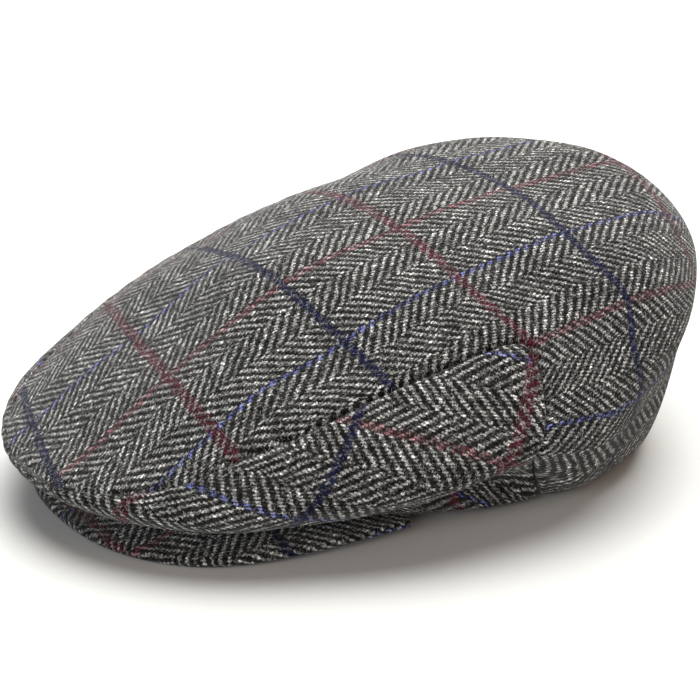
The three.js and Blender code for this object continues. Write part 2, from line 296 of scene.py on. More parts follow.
def crown(angle, level):
    """Outer face of the crown: a smooth rib rises through the rings, over the apex and beyond."""
    angle, level = np.broadcast_arrays(np.asarray(angle, float), np.asarray(level, float))
    rings = list(RINGS.values())
    stations = [ring_points(ring, angle) for ring in rings]
    stations.append(np.broadcast_to(APEX, angle.shape + (3,)))
    stations.append(ring_points(rings[-1], angle + math.pi))
    stations = np.stack([2 * stations[0] - stations[1], *stations, 2 * stations[-1] - stations[-2]])
    first = np.clip(np.floor(level).astype(int), 0, len(rings))
    at = (level - first)[..., None]
    p0, p1, p2, p3 = (np.take_along_axis(stations, (first + k)[None, ..., None], 0)[0] for k in range(4))
    d0, d1, d2 = (np.maximum(np.linalg.norm(b - a, axis=-1, keepdims=True), TINY) ** 0.5
                  for a, b in ((p0, p1), (p1, p2), (p2, p3)))
    out1 = ((p1 - p0) / d0 - (p2 - p0) / (d0 + d1) + (p2 - p1) / d1) * d1
    out2 = ((p2 - p1) / d1 - (p3 - p1) / (d1 + d2) + (p3 - p2) / d2) * d1
    return (p1 + out1 * at + (3 * (p2 - p1) - 2 * out1 - out2) * at ** 2
            + (2 * (p1 - p2) + out1 + out2) * at ** 3)


def along_rib(angle, level):
    return crown(angle, level + DELTA) - crown(angle, np.maximum(level - DELTA, 0))


def crown_normal(angle, level):
    up = along_rib(angle, level)
    around = crown(angle + DELTA, level) - crown(angle - DELTA, level)
    at_apex = (level > APEX_LEVEL - APEX_NEAR)[..., None]
    up_beside = along_rib(angle + math.pi / 2, level)
    return unit(np.where(at_apex, np.cross(up, up_beside), np.cross(around, up)))


def rib_length(angle, level):
    """Length along the ribs from the bulge up to these places, mm."""
    angles = np.radians(np.arange(181))
    levels = np.linspace(0, APEX_LEVEL - 1, RIB_SAMPLES)
    climb = run_along(crown(angles[:, None], levels[None]), axis=1)
    climb -= np.array([np.interp(BULGE_LEVEL, levels, row) for row in climb])[:, None]
    from_front = math.pi - np.abs(math.pi - angle)
    return between(climb, from_front / angles[1], level / levels[1])


def seam_line(share):
    """Angle and level of the seam, from 0 at the front to 1 at the rim."""
    knots = np.array(TOP_SEAM + BACK_SEAM, float)
    knots[:, 0] = np.radians(knots[:, 0])
    last = len(knots) - 1
    place = np.clip(np.asarray(share, float), 0, 1) * last
    k = np.minimum(place.astype(int), last - 1)
    t = (place - k)[:, None]
    p0, p1, p2, p3 = (knots[np.clip(k + step, 0, last)] for step in (-1, 0, 1, 2))
    m1, m2 = (p2 - p0) / 2, (p3 - p1) / 2
    return (2 * p1 - 2 * p2 + m1 + m2) * t ** 3 + (3 * (p2 - p1) - 2 * m1 - m2) * t ** 2 + m1 * t + p1


def seam_places(start, end, spread, aside):
    """Angles and levels along the seam between two shares of it, spread over its length and moved aside
    towards the top by so many mm."""
    fine = np.linspace(start, end, SEAM_SAMPLES)
    run = run_along(crown(*seam_line(fine).T))
    share = np.interp(spread * run[-1], run, fine)
    angle, level = seam_line(share).T
    ahead, before = seam_line(share + DELTA), seam_line(share - DELTA)
    here = crown(angle, level)
    per_angle = np.linalg.norm(crown(angle + DELTA, level) - here, axis=1) / DELTA
    per_level = np.linalg.norm(crown(angle, level + DELTA) - here, axis=1) / DELTA
    way = unit(np.stack([-(ahead - before)[:, 1] * per_level, (ahead - before)[:, 0] * per_angle], 1))
    angle = angle + aside * way[:, 0] / per_angle
    level = level + aside * way[:, 1] / per_level
    if start == 0:
        angle[0] = 0
    if end == 1:
        level[-1] = 0
    return angle, level


def seam_tree():
    """Search tree of the seam's points, and their distances along it."""
    line = crown(*seam_places(0, 1, np.linspace(0, 1, 2 * SEAM_SAMPLES), 0))
    tree = KDTree(len(line))
    for number, point in enumerate(line):
        tree.insert(point, number)
    tree.balance()
    return tree, run_along(line)


SEAM_TREE, SEAM_RUN = seam_tree()


def relief(points):
    """Height of the sewn cloth over the plain crown: a ditch and puckers at a seam, slow waves elsewhere."""
    found = [SEAM_TREE.find((abs(x), y, z))[1:] for x, y, z in points]
    number, distance = np.array(found).T
    run = SEAM_RUN[number.astype(int)]
    sewn = DITCH_FRONT + (1 - DITCH_FRONT) * smoothstep(run, *DITCH_DEEPENS)
    ditch = -sewn * (DITCH_DEPTH * np.exp(-(distance / DITCH_WIDTH) ** DITCH_POWER)
                     + VALLEY_DEPTH * np.exp(-(distance / VALLEY_WIDTH) ** 2))
    drift = PUCKER_DRIFT * np.sin(run / PUCKER_DRIFT_LENGTH)
    swell = np.sin(2 * math.pi * run / PUCKER_LENGTH + drift)
    pucker = PUCKER_HEIGHT * swell * np.exp(-distance / PUCKER_REACH)
    waves = sum(height * np.sin(2 * math.pi / length * (points @ np.array(way)) + phase)
                for length, height, way, phase in WAVES)
    return ditch + pucker + waves * smoothstep(distance, 0, WAVES_FROM_SEAM)


class Net:
    """Places on the crown and the faces between them."""

    def __init__(self):
        self.angle, self.level, self.faces, self.count = [], [], [], 0

    def add(self, angle, level):
        angle, level = np.broadcast_arrays(angle, level)
        numbers = self.count + np.arange(angle.size).reshape(angle.shape)
        self.angle.append(angle.ravel())
        self.level.append(level.ravel())
        self.count += angle.size
        return numbers

    def strip(self, lower, upper):
        """Faces between two rows of numbers; upper may have half as many steps."""
        if len(lower) == len(upper):
            self.faces += np.stack([lower[:-1], lower[1:], upper[1:], upper[:-1]], 1).tolist()
            return
        left, middle, right = lower[:-1:2], lower[1::2], lower[2::2]
        self.faces += np.stack([left, middle, upper[:-1]], 1).tolist()
        self.faces += np.stack([middle, right, upper[1:]], 1).tolist()
        self.faces += np.stack([middle, upper[1:], upper[:-1]], 1).tolist()

    def places(self):
        return np.concatenate(self.angle), np.concatenate(self.level)


def show(name, data):
    """Object of this mesh, light or camera, put in the scene."""
    made = bpy.data.objects.new(name, data)
    bpy.context.scene.collection.objects.link(made)
    return made


def corner_points(mesh):
    """Number of the point at each corner of the faces."""
    numbers = np.zeros(len(mesh.loops), int)
    mesh.loops.foreach_get("vertex_index", numbers)
    return numbers


def piece(name, points, faces, cloth_mm, outer_faces, material):
    """Object of one sewn piece; cloth_mm is each point's place on the flat cloth."""
    mesh = bpy.data.meshes.new(name)
    mesh.from_pydata((points * MM).tolist(), [], faces)
    mesh.validate()
    flat = mesh.uv_layers.new(name="cloth")
    flat.uv.foreach_set("vector", cloth_mm[corner_points(mesh)].astype(np.float32).ravel())
    napped = mesh.attributes.new("napped", "BOOLEAN", "FACE")
    lowest = np.array([min(mesh.vertices[v].co.z for v in face.vertices) for face in mesh.polygons])
    facing = np.array([face.normal.z for face in mesh.polygons])
    outside = np.arange(len(mesh.polygons)) < outer_faces
    napped.data.foreach_set("value", outside & (lowest > FUZZ_ABOVE * MM) & (facing > FUZZ_FACING))
    mesh.polygons.foreach_set("use_smooth", np.ones(len(mesh.polygons), bool))
    mesh.materials.append(material)
    return show(name, mesh)


def panel(name, net, cloth_mm, material, mirrored=False):
    """Closed sheet: the outer face with its relief, the same face one thickness in, and walls at the edges,
    rolled along the rim."""
    angle, level = net.places()
    plain, normal = crown(angle, level), crown_normal(angle, level)
    outer = plain + normal * relief(plain)[:, None]
    inner = outer - normal * THICKNESS
    count = len(outer)
    half = {(a, b) for face in net.faces for a, b in zip(face, face[1:] + face[:1])}
    edges = sorted((a, b) for a, b in half if (b, a) not in half)
    rolled = {(a, b) for a, b in edges if level[a] == 0 and level[b] == 0}
    rim_points = sorted({a for edge in rolled for a in edge})
    down = unit(crown(angle[rim_points], np.full(len(rim_points), DELTA)) - plain[rim_points])
    middle = (outer + inner)[rim_points] / 2 - down * RIM_ROLL
    middle_of = {a: 2 * count + k for k, a in enumerate(rim_points)}
    points = np.concatenate([outer, inner, middle])
    points[:, 2] = np.where(points[:, 2] < PRESSED_FLAT, 0, points[:, 2])
    inside = [[a + count for a in reversed(face)] for face in net.faces]
    walls = []
    for a, b in edges:
        if (a, b) in rolled:
            walls.append([b, a, middle_of[a], middle_of[b]])
            walls.append([middle_of[b], middle_of[a], a + count, b + count])
        else:
            walls.append([b, a, a + count, b + count])
    faces = net.faces + inside + walls
    if mirrored:
        points = points * (-1, 1, 1)
        faces = [face[::-1] for face in faces]
    through = np.concatenate([np.arange(count), np.arange(count), rim_points]).astype(int)
    return piece(name, points, faces, cloth_mm[through], len(net.faces), material)


def top_net():
    """Top panel: rows climb from the seams to the apex, and a back wall drops from the rear corners to the
    rim."""
    net = Net()
    columns = crowded(SEAM_COLUMNS, SEAM_CROWDING, turns=2)
    angle, level = seam_places(0, CORNER_SHARE, columns, SEAM_GAP / 2)
    corner = angle[-1], level[-1]
    across = crowded(BACK_COLUMNS, BACK_CROWDING, turns=2)
    back = corner[0] + (2 * math.pi - 2 * corner[0]) * across
    feet_angle = np.concatenate([angle, back[1:-1], 2 * math.pi - angle[::-1]])[:-1]
    feet_level = np.concatenate([level, np.full(BACK_COLUMNS - 1, corner[1]), level[::-1]])[:-1]
    rows = []
    for share in crowded(CROWN_ROWS, CROWN_CROWDING)[:-1]:
        every = 2 ** sum(share > limit for limit in THINNED)
        numbers = net.add(feet_angle[::every], (feet_level + (APEX_LEVEL - feet_level) * share)[::every])
        rows.append(np.append(numbers, numbers[0]))
    for lower, upper in zip(rows, rows[1:]):
        net.strip(lower, upper)
    apex = int(net.add(np.zeros(1), np.full(1, float(APEX_LEVEL)))[0])
    net.faces += [[int(a), int(b), apex] for a, b in zip(rows[-1], rows[-1][1:])]
    fall_angle, fall_level = seam_places(CORNER_SHARE, 1, np.linspace(0, 1, BACK_ROWS + 1), SEAM_GAP / 2)
    above = rows[0][SEAM_COLUMNS:SEAM_COLUMNS + BACK_COLUMNS + 1]
    for side, height in zip(fall_angle[1:], fall_level[1:]):
        below = net.add(side + (2 * math.pi - 2 * side) * across, height)
        net.strip(below, above)
        above = below
    return net


def side_net():
    """Left side panel: columns follow the top seam, rows follow the back seam."""
    net = Net()
    columns = crowded(SEAM_COLUMNS, SEAM_CROWDING, turns=2)
    angle, level = seam_places(0, CORNER_SHARE, columns, -SEAM_GAP / 2)
    fall_angle, fall_level = seam_places(CORNER_SHARE, 1, crowded(SIDE_ROWS, SIDE_CROWDING), -SEAM_GAP / 2)
    slit = SEAM_GAP / 2 / abs(RINGS["bulge"]["front"])
    lean = (angle / angle[-1]) ** LEAN_POWER
    above = None
    for side, height in zip(fall_angle, fall_level):
        row = net.add(np.maximum(angle + (side - angle[-1]) * lean, slit), level * height / fall_level[0])
        if above is not None:
            net.strip(row, above)
        above = row
    return net


def fan_directions(points):
    """Turn of each point's fan plane and its angle aside in that plane, both about the fan axis."""
    turn = math.radians(FAN_TURN)
    x, y = points[..., 0], points[..., 1] - APEX[1]
    across = math.cos(turn) * x + math.sin(turn) * y
    along = -math.sin(turn) * x + math.cos(turn) * y + APEX[1] - FAN_AXIS_Y
    up = points[..., 2] - FAN_AXIS_Z
    return np.arctan2(along, up), np.arctan2(across, np.hypot(along, up))


def fan_lengths():
    """Lengths over the crown, across and along, at the steps of the fan."""
    angles = np.radians(np.arange(0, 361, FAN_SHELL_TURN))
    levels = np.linspace(FAN_SHELL_FROM, APEX_LEVEL, FAN_SHELL_ROWS)
    shell = crown(angles[None], levels[:, None])
    numbers = np.arange(shell.shape[0] * shell.shape[1]).reshape(shell.shape[:2])
    quads = np.stack([numbers[:-1, :-1], numbers[:-1, 1:], numbers[1:, 1:], numbers[1:, :-1]], -1)
    tree = BVHTree.FromPolygons(shell.reshape(-1, 3).tolist(), quads.reshape(-1, 4).tolist())
    cosine, sine = math.cos(math.radians(FAN_TURN)), math.sin(math.radians(FAN_TURN))
    ahead = FAN_AXIS_Y - APEX[1]
    centre = Vector((-sine * ahead, APEX[1] + cosine * ahead, FAN_AXIS_Z))
    reach = np.full((len(FAN_PLANES), len(FAN_ASIDES)), np.nan)
    for i, plane in enumerate(FAN_PLANES):
        for j, aside in enumerate(FAN_ASIDES):
            across, along = math.sin(aside), math.cos(aside) * math.sin(plane)
            way = Vector((cosine * across - sine * along, sine * across + cosine * along,
                          math.cos(aside) * math.cos(plane)))
            distance = tree.ray_cast(centre, way)[3]
            # where a ray misses the shell, the reach of the plane ahead of it goes on
            if distance is not None:
                reach[i, j] = distance
            elif i > 0:
                reach[i, j] = reach[i - 1, j]
    half = len(FAN_ASIDES) // 2
    step = np.hypot(np.diff(reach * np.sin(FAN_ASIDES)), np.diff(reach * np.cos(FAN_ASIDES)))
    step = np.where(np.isnan(step), 0, step)
    across = np.zeros_like(reach)
    across[:, half + 1:] = np.cumsum(step[:, half:], 1)
    across[:, :half] = -np.cumsum(step[:, :half][:, ::-1], 1)[:, ::-1]
    middle = reach[:, half]
    rise = np.hypot(np.diff(middle * np.sin(FAN_PLANES)), np.diff(middle * np.cos(FAN_PLANES)))
    along = np.concatenate([[0], np.cumsum(np.where(np.isnan(rise), 0, rise))])
    return across, along - np.interp(0, FAN_PLANES, along)


FAN_ACROSS, FAN_ALONG = fan_lengths()


def laid(angle, level):
    """Place on the flat cloth of places on the crown, as the fan lays it, in mm across and along."""
    plane, aside = fan_directions(crown(angle, level))
    across = between(FAN_ACROSS, (plane - FAN_PLANES[0]) / (FAN_PLANES[1] - FAN_PLANES[0]),
                     (aside - FAN_ASIDES[0]) / (FAN_ASIDES[1] - FAN_ASIDES[0]))
    along = np.interp(plane, FAN_PLANES, FAN_ALONG)
    ahead = np.maximum(0, FRONT_FROM - along)
    across = across + FRONT_SPREAD * (across - FRONT_SPREAD_FROM) * smoothstep(ahead, *FRONT_SPREAD_OVER)
    along = along + (FRONT_SKEW * across + FRONT_EASE) * ahead
    pull = np.exp(-((np.abs(across) - CORNER_PULL_AT) / CORNER_PULL_WIDTH) ** 2)
    along = along - CORNER_PULL * pull * smoothstep(along, *CORNER_PULL_OVER)
    return np.stack([across - RED_LINE_AT + CHECK_ACROSS, along - WINE_LINE_AT], -1)


def wall_lengths(side, navy_plane):
    """Flat places of the back wall of one side, a row per level and a column per angle: the navy line falls
    straight, and the rings run out from it at their own length."""
    levels = np.arange(0, WALL_LEVELS[1] + 2 * WALL_STEP, WALL_STEP)
    around = np.radians(np.arange(WALL_FROM[0], 180 + WALL_TURN / 2, WALL_TURN))
    turned = around if side > 0 else 2 * math.pi - around
    shell = crown(turned[None], levels[:, None])
    plane = fan_directions(shell)[0]
    navy = np.array([np.interp(navy_plane, row, around) for row in plane])
    run = run_along(shell, axis=1)
    run -= np.array([np.interp(at, around, row) for at, row in zip(navy, run)])[:, None]
    turned = navy if side > 0 else 2 * math.pi - navy
    line = crown(turned, levels)
    round_way = unit(crown(turned + side * DELTA, levels) - crown(turned - side * DELTA, levels))
    cosine = -np.sum(round_way * unit(np.gradient(line, axis=0)), 1)[:, None]
    step = np.linalg.norm(np.diff(line, axis=0), axis=1)
    step *= WALL_EASE + (1 - WALL_EASE) * smoothstep(levels[1:], *WALL_EASE_LEVELS)
    fall = np.concatenate([[0], np.cumsum(step)])
    start = laid(turned[-1:], levels[-1:])[0]
    across = start[0] + side * ((fall[-1] - fall)[:, None] + run * (cosine + WALL_SKEW))
    return across, start[1] + run * np.sqrt(1 - cosine ** 2)


def top_cloth(angle, level):
    """Place on the flat cloth of places on the top panel, in mm across and along."""
    flat = laid(angle, level)
    navy_plane = np.interp(WINE_LINE_AT + CHECK_ALONG, FAN_ALONG, FAN_PLANES)
    from_front = np.degrees(math.pi - np.abs(math.pi - angle))
    share = (1 - smoothstep(level, *WALL_LEVELS)) * smoothstep(from_front, *WALL_FROM)
    share = share * (1 - smoothstep(from_front, *WALL_TO))
    for side, here in ((1, angle <= math.pi), (-1, angle > math.pi)):
        row, column = level[here] / WALL_STEP, (from_front[here] - WALL_FROM[0]) / WALL_TURN
        wall = np.stack([between(values, row, column) for values in wall_lengths(side, navy_plane)], -1)
        flat[here] += (wall - flat[here]) * share[here, None]
    return flat


def side_cloth(angle, level):
    """Place on the flat cloth of places on the left side panel, in mm across and along."""
    angles = np.radians(np.linspace(0, SIDE_END, SIDE_SAMPLES))
    run = run_along(crown(angles, np.full(len(angles), float(BULGE_LEVEL))))
    along = np.interp(angle, angles, run) - SIDE_GRAIN_AT[0]
    above = rib_length(angle, level) - SIDE_GRAIN_AT[1]
    terms = np.stack([np.ones_like(along), along, above, along * along], -1)
    return np.stack([terms @ np.array(SIDE_ACROSS), terms @ np.array(SIDE_ALONG)], -1)


def make_peak(material):
    """Crescent plate under cloth: its root follows the rim, its outer edge a rounded oval arc."""
    share = np.linspace(-1, 1, PEAK_SECTIONS + 1)
    rim = ring_points(RINGS["rim"], np.radians(PEAK["end_angle"]) * share)
    inward = unit(np.stack([-rim[:, 0], RINGS["rim"]["widest"] - rim[:, 1]], 1))
    root = rim[:, :2] + inward * PEAK["root_inset"]
    sweep = math.pi / 2 * share
    edge = np.stack([PEAK["half"] * oval_power(np.sin(sweep), PEAK["square"]),
                     PEAK["centre"] + (PEAK["front"] - PEAK["centre"])
                     * oval_power(np.cos(sweep), PEAK["square"])], 1)
    thick = PEAK["thick"] + (PEAK["thick_end"] - PEAK["thick"]) * share ** 2
    edge_top = thick + PEAK["end_rise"] * smoothstep(np.abs(share), PEAK["flat_to"] / 90, 1)
    root_top = rim[:, 2] - PEAK["root_drop"]
    width = np.linalg.norm(edge - root, axis=1)
    outward = unit(edge - root)
    radius = thick / 2
    loop = []

    def place(out, z):
        loop.append(np.column_stack([root + outward * np.broadcast_to(out, share.shape)[:, None], z]))

    def top_at(part):
        return root_top + (edge_top - root_top) * part ** PEAK["droop"]

    for k in range(PEAK_OVER):
        place((width - radius) * k / PEAK_OVER, top_at(k / PEAK_OVER))
    for k in range(PEAK_NOSE + 1):
        turn = math.pi * (0.5 - k / PEAK_NOSE)
        place(width - radius + radius * math.cos(turn), edge_top - radius + radius * math.sin(turn))
    for k in range(PEAK_UNDER - 1, -1, -1):
        place((width - radius) * k / PEAK_UNDER, top_at(k / PEAK_UNDER) - thick)
    points = np.stack(loop, 1)
    size = points.shape[1]
    numbers = np.arange(points.shape[0] * size).reshape(-1, size)
    ahead = np.roll(numbers, -1, 1)
    faces = np.stack([numbers[:-1], ahead[:-1], ahead[1:], numbers[1:]], -1).reshape(-1, 4).tolist()
    shown = len(faces)
    faces += [numbers[0][::-1].tolist(), numbers[-1].tolist()]
    drawn = run_along(points, axis=1)
    flat = root[:, None] + outward[:, None] * drawn[..., None] - (PEAK_BLUE_AT, PEAK_WINE_AT)
    return piece("peak_cover", points.reshape(-1, 3), faces, flat.reshape(-1, 2), shown, material)


def linear(hex_colour):
    """sRGB hex to a linear colour."""
    parts = [int(hex_colour[i:i + 2], 16) / 255 for i in (0, 2, 4)]
    return [p / 12.92 if p <= 0.04045 else ((p + 0.055) / 1.055) ** 2.4 for p in parts] + [1.0]


def add(tree, kind, inputs=(), **settings):
    """A node with its settings. Inputs, in order or by name, are set to values or linked to nodes and
    sockets; sockets that the settings switch off are passed over."""
    node = tree.nodes.new(kind)
    for name, value in settings.items():
        setattr(node, name, value)
    sockets = [socket for socket in node.inputs if socket.enabled]
    if isinstance(inputs, dict):
        by_name = {socket.name: socket for socket in sockets}
        sockets, inputs = [by_name[name] for name in inputs], inputs.values()
    for socket, value in zip(sockets, inputs):
        if isinstance(value, bpy.types.Node):
            value = next(output for output in value.outputs if output.enabled)
        if isinstance(value, bpy.types.NodeSocket):
            tree.links.new(value, socket)
        else:
            socket.default_value = value
    return node


def fuzz_tree():
    """Geometry Nodes: loose curved fibres that stand and lean over the outer face of a woollen piece."""
    tree = bpy.data.node_groups.new("wool_fuzz", "GeometryNodeTree")
    for name, kind in (("Cloth", "Geometry"), ("Fibres per square metre", "Float"),
                       ("Fibre length", "Float"), ("Fibre width", "Float"),
                       ("Lean", "Vector"), ("Seed", "Int"), ("Material", "Material")):
        tree.interface.new_socket(name, in_out="INPUT", socket_type="NodeSocket" + kind)
    tree.interface.new_socket("Fuzz", in_out="OUTPUT", socket_type="NodeSocketGeometry")
    given = add(tree, "NodeGroupInput").outputs
    length = given["Fibre length"]
    napped = add(tree, "GeometryNodeInputNamedAttribute", {"Name": "napped"}, data_type="BOOLEAN")
    roots = add(tree, "GeometryNodeDistributePointsOnFaces", {
        "Mesh": given["Cloth"], "Selection": napped, "Density": given["Fibres per square metre"],
        "Seed": given["Seed"]})
    strip = add(tree, "GeometryNodeMeshGrid", {
        "Size X": given["Fibre width"], "Size Y": length,
        "Vertices X": FIBRE_ACROSS, "Vertices Y": FIBRE_ALONG})
    # the strip is stood up on its root and bent over
    at = add(tree, "ShaderNodeSeparateXYZ", [add(tree, "GeometryNodeInputPosition")])
    share = add(tree, "ShaderNodeMath", [at.outputs["Y"], length], operation="DIVIDE")
    risen = add(tree, "ShaderNodeMath", [share, 0.5], operation="ADD")
    bent = add(tree, "ShaderNodeMath", [risen, FUZZ_BEND], operation="POWER")
    aside = add(tree, "ShaderNodeMath", [bent, length], operation="MULTIPLY")
    upright = add(tree, "ShaderNodeMath", [bent, FUZZ_DIP, risen], operation="MULTIPLY_ADD")
    height = add(tree, "ShaderNodeMath", [upright, length], operation="MULTIPLY")
    place = add(tree, "ShaderNodeCombineXYZ", [at.outputs["X"], aside, height])
    fibre = add(tree, "GeometryNodeSetPosition", {"Geometry": strip, "Position": place})
    least = add(tree, "ShaderNodeVectorMath", [given["Lean"], (-1, -1, 0)], operation="MULTIPLY")
    lean = add(tree, "FunctionNodeRandomValue", {"Min": least, "Max": given["Lean"], "Seed": given["Seed"]},
               data_type="FLOAT_VECTOR")
    way = add(tree, "FunctionNodeRotateRotation", [roots.outputs["Rotation"], lean], rotation_space="LOCAL")
    smallest, largest = FUZZ_SIZES
    size = add(tree, "FunctionNodeRandomValue", {"Min": smallest, "Max": largest, "Seed": given["Seed"]},
               data_type="FLOAT")
    fibres = add(tree, "GeometryNodeInstanceOnPoints", {
        "Points": roots, "Instance": fibre, "Rotation": way, "Scale": size})
    whole = add(tree, "GeometryNodeRealizeInstances", [fibres])
    dyed = add(tree, "GeometryNodeSetMaterial", {"Geometry": whole, "Material": given["Material"]})
    add(tree, "NodeGroupOutput", [dyed])
    return tree


def fuzz(tree, cloth, name, seed, material):
    """Plain mesh of the loose fibres on one piece, each with its own cell of a texture map."""
    values = {"Fibres per square metre": FUZZ_DENSITY, "Fibre length": FUZZ_LENGTH * MM,
              "Fibre width": FUZZ_WIDTH * MM, "Lean": FUZZ_LEAN, "Seed": seed, "Material": material}
    grown = cloth.modifiers.new("fuzz", "NODES")
    grown.node_group = tree
    for item in tree.interface.items_tree:
        if item.name in values:
            grown[item.identifier] = values[item.name]
    mesh = bpy.data.meshes.new_from_object(cloth.evaluated_get(bpy.context.evaluated_depsgraph_get()))
    cloth.modifiers.remove(grown)
    mesh.name = name
    fibre, corner = np.divmod(corner_points(mesh), FIBRE_ACROSS * FIBRE_ALONG)
    cells = math.ceil(math.sqrt(len(mesh.vertices) / (FIBRE_ACROSS * FIBRE_ALONG)))
    across, along = corner % FIBRE_ACROSS, corner // FIBRE_ACROSS / (FIBRE_ALONG - 1)
    inset = np.stack([across, along], 1) * CELL_FILL + CELL_MARGIN
    while mesh.uv_layers:
        mesh.uv_layers.remove(mesh.uv_layers[0])
    cell_map = mesh.uv_layers.new(name="OFBake")
    at = (np.stack([fibre % cells, fibre // cells], 1) + inset) / cells
    cell_map.uv.foreach_set("vector", at.astype(np.float32).ravel())
    return show(name, mesh)


# Steps of the weave, each a name, an operation and what it works on. end and pick number the threads; odd
# marks the herringbone columns that lean the other way; phase is the place in the twill, and below OVER the
# warp lies on top.
WEAVE_STEPS = (
    ("ends", "DIVIDE", "across", END_PITCH),
    ("picks", "DIVIDE", "along", PICK_PITCH),
    ("end", "FLOOR", "ends"),
    ("pick", "FLOOR", "picks"),
    ("in_end", "SUBTRACT", "ends", "end"),
    ("in_pick", "SUBTRACT", "picks", "pick"),
    ("columns", "DIVIDE", "end", COLUMN_ENDS),
    ("column", "FLOOR", "columns"),
    ("odd", "FLOORED_MODULO", "column", 2),
    ("column_start", "MULTIPLY", "column", COLUMN_ENDS),
    ("column_end", "SUBTRACT", "end", "column_start"),
    ("lean", "MULTIPLY_ADD", "odd", -2, 1),
    ("step", "MULTIPLY_ADD", "column_end", "lean", "odd"),
    ("twill", "ADD", "step", "pick"),
    ("phase", "FLOORED_MODULO", "twill", TWILL),
    ("warp_up", "LESS_THAN", "phase", OVER),
    # place along the float on top, in threads passed over
    ("warp_run", "ADD", "phase", "in_pick"),
    ("weft_even", "MULTIPLY_ADD", "phase", "lean", "in_end"),
    ("weft_run", "MULTIPLY_ADD", "odd", TWILL + 1, "weft_even"),
    ("weft_from", "SUBTRACT", "weft_run", OVER),
    # round backs of the threads: high along the middle and at the middle of the float; they give the bump and
    # the painted shade and highlight on the threads
    ("warp_arc", "MULTIPLY", "warp_run", math.pi / OVER),
    ("warp_bow", "SINE", "warp_arc"),
    ("warp_side", "PINGPONG", "in_end", 0.5),
    ("warp_back", "MULTIPLY", "warp_side", "warp_bow"),
    ("weft_arc", "MULTIPLY", "weft_from", math.pi / OVER),
    ("weft_bow", "SINE", "weft_arc"),
    ("weft_side", "PINGPONG", "in_pick", 0.5),
    ("weft_back", "MULTIPLY", "weft_side", "weft_bow"),
    ("weft_up", "SUBTRACT", 1, "warp_up"),
    ("warp_rise", "MULTIPLY", "warp_back", "warp_up"),
    ("thread_rise", "MULTIPLY_ADD", "weft_back", "weft_up", "warp_rise"),
    ("thread_back", "MULTIPLY", "thread_rise", 2),
    # coloured threads of the overcheck
    ("warp_repeat", "FLOORED_MODULO", "end", 2 * CHECK_ENDS),
    ("warp_blue", "LESS_THAN", "warp_repeat", BLUE_ENDS),
    ("warp_from_red", "SUBTRACT", "warp_repeat", CHECK_ENDS + (RED_ENDS - 1) / 2),
    ("warp_red_gap", "ABSOLUTE", "warp_from_red"),
    ("warp_red", "LESS_THAN", "warp_red_gap", RED_ENDS / 2),
    ("weft_repeat", "FLOORED_MODULO", "pick", 2 * CHECK_PICKS),
    ("weft_wine", "LESS_THAN", "weft_repeat", WINE_PICKS),
    ("weft_from_navy", "SUBTRACT", "weft_repeat", CHECK_PICKS + (NAVY_PICKS - 1) / 2),
    ("weft_navy_gap", "ABSOLUTE", "weft_from_navy"),
    ("weft_navy", "LESS_THAN", "weft_navy_gap", NAVY_PICKS / 2),
    # number of the float on top, to shade each one by itself
    ("twill_repeat", "DIVIDE", "twill", TWILL),
    ("float", "FLOOR", "twill_repeat"),
    ("column_float", "MULTIPLY_ADD", "column", COLUMN_STRIDE, "float"),
)


